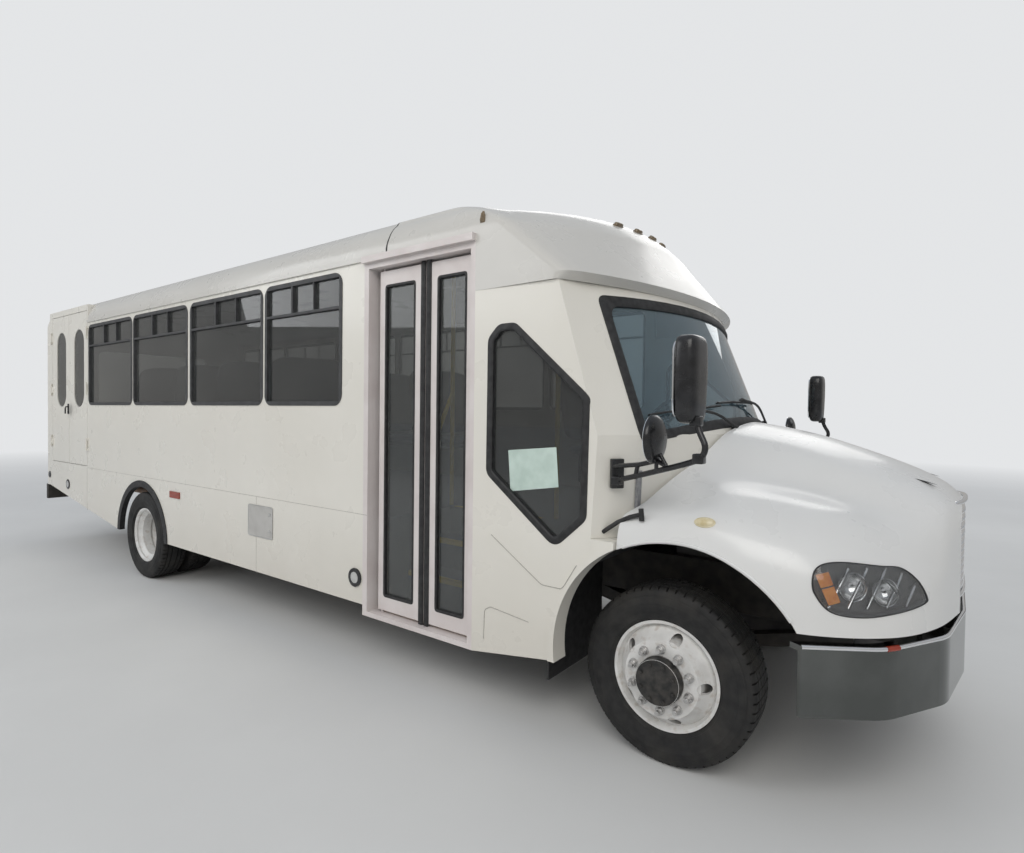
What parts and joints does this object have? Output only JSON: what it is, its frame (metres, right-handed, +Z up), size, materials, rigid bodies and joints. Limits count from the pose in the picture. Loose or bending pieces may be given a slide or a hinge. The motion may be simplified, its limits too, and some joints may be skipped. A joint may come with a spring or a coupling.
{
  "type": "minibus",
  "caption": "Shuttle minibus with tilting snub hood, moulded front cap, double entry doors, side lift doors, sliding-light windows and twin rear wheels.",
  "frame": {"origin": "centre of the overall box at ground level", "axes": "+X forward, +Y to the bus's left, +Z up"},
  "size_m": [9.18, 2.907, 2.92],
  "materials": {
    "white_panel": "gloss",
    "white_moulding": "gloss",
    "door_frame_paint": "satin",
    "glass_dark": "polished",
    "glass_clear": "polished",
    "black_frame": "satin",
    "rubber": "matt",
    "chrome": "polished",
    "chassis_paint": "satin",
    "engine_iron": "rough",
    "alloy": "satin",
    "floor_cover": "ribbed",
    "dark_plastic": "grained",
    "seat_fabric": "woven",
    "grab_yellow": "gloss",
    "grey_door": "satin",
    "ring_black": "matt",
    "lamp_red": "gloss",
    "lamp_clear": "gloss",
    "tyre": "matt",
    "wheel_white": "gloss"
  },
  "bodies": {
    "chassis": {"side_wall_right": "white_panel", "side_wall_left": "white_panel", "skirts": "white_panel", "lift_door_frame": "white_panel", "entry_door_frame": "white_panel", "drip_rails": "white_panel", "roof": "white_moulding", "front_cap": "white_moulding", "cowl": "white_moulding", "cab_shells": "white_moulding", "rear_wall": "white_moulding", "side_glass": "glass_dark", "windscreen": "glass_clear", "window_frames": "black_frame", "mirrors": "black_frame", "rubber_trims": "rubber", "front_bumper": "chrome", "frame_rails": "chassis_paint", "cross_members": "chassis_paint", "axles": "chassis_paint", "leaf_springs": "chassis_paint", "drive_line": "chassis_paint", "rear_bumper": "chassis_paint", "engine": "engine_iron", "radiator": "alloy", "fuel_tank": "alloy", "exhaust": "alloy", "floor": "floor_cover", "entry_steps": "floor_cover", "toe_board": "floor_cover", "dashboard": "dark_plastic", "steering_wheel": "dark_plastic", "passenger_seats": "seat_fabric", "driver_seat": "seat_fabric", "grab_rails": "grab_yellow", "access_door": "grey_door", "vent_ring": "ring_black", "small_lamps": "lamp_red"},
    "knuckle_right_body": {"knuckle_right": "chassis_paint"},
    "knuckle_left_body": {"knuckle_left": "chassis_paint"},
    "front_wheel_right": {"tyre_front_right": "tyre", "wheel_front_right": "wheel_white"},
    "front_wheel_left": {"tyre_front_left": "tyre", "wheel_front_left": "wheel_white"},
    "rear_wheels_right": {"tyres_rear_right": "tyre", "wheels_rear_right": "wheel_white"},
    "rear_wheels_left": {"tyres_rear_left": "tyre", "wheels_rear_left": "wheel_white"},
    "entry_door_rear": {"entry_leaf_rear": "door_frame_paint", "entry_glass_rear": "glass_clear"},
    "entry_door_front": {"entry_leaf_front": "door_frame_paint", "entry_glass_front": "glass_clear"},
    "lift_door_rear": {"lift_leaf_rear": "white_panel", "lift_glass_rear": "glass_dark"},
    "lift_door_front": {"lift_leaf_front": "white_panel", "lift_glass_front": "glass_dark"},
    "hood_body": {"hood": "white_moulding", "grille": "chrome", "headlamps": "lamp_clear"}
  },
  "joints": [
    {"name": "steer_right", "type": "hinge", "parent": "chassis", "child": "knuckle_right_body", "pos_m": [3.46, -0.79, 0.419], "axis": [0, 0, 1], "range_deg": [-36, 36]},
    {"name": "steer_left", "type": "hinge", "parent": "chassis", "child": "knuckle_left_body", "pos_m": [3.46, 0.79, 0.419], "axis": [0, 0, 1], "range_deg": [-36, 36]},
    {"name": "roll_front_right", "type": "hinge", "parent": "knuckle_right_body", "child": "front_wheel_right", "pos_m": [3.46, -0.93, 0.419], "axis": [0, 1, 0], "continuous": true},
    {"name": "roll_front_left", "type": "hinge", "parent": "knuckle_left_body", "child": "front_wheel_left", "pos_m": [3.46, 0.93, 0.419], "axis": [0, 1, 0], "continuous": true},
    {"name": "roll_rear_right", "type": "hinge", "parent": "chassis", "child": "rear_wheels_right", "pos_m": [-1.794, -0.94, 0.419], "axis": [0, 1, 0], "continuous": true},
    {"name": "roll_rear_left", "type": "hinge", "parent": "chassis", "child": "rear_wheels_left", "pos_m": [-1.794, 0.94, 0.419], "axis": [0, 1, 0], "continuous": true},
    {"name": "entry_rear_hinge", "type": "hinge", "parent": "chassis", "child": "entry_door_rear", "pos_m": [1.624, -1.15, 1.46], "axis": [0, 0, -1], "range_deg": [0, 90]},
    {"name": "entry_front_hinge", "type": "hinge", "parent": "chassis", "child": "entry_door_front", "pos_m": [2.355, -1.15, 1.46], "axis": [0, 0, 1], "range_deg": [0, 90]},
    {"name": "lift_rear_hinge", "type": "hinge", "parent": "chassis", "child": "lift_door_rear", "pos_m": [-4.331, -1.234, 1.87], "axis": [0, 0, -1], "range_deg": [0, 120]},
    {"name": "lift_front_hinge", "type": "hinge", "parent": "chassis", "child": "lift_door_front", "pos_m": [-3.184, -1.234, 1.87], "axis": [0, 0, 1], "range_deg": [0, 120]},
    {"name": "hood_tilt", "type": "hinge", "parent": "chassis", "child": "hood_body", "pos_m": [4.545, 0, 0.78], "axis": [0, 1, 0], "range_deg": [0, 60]}
  ]
}
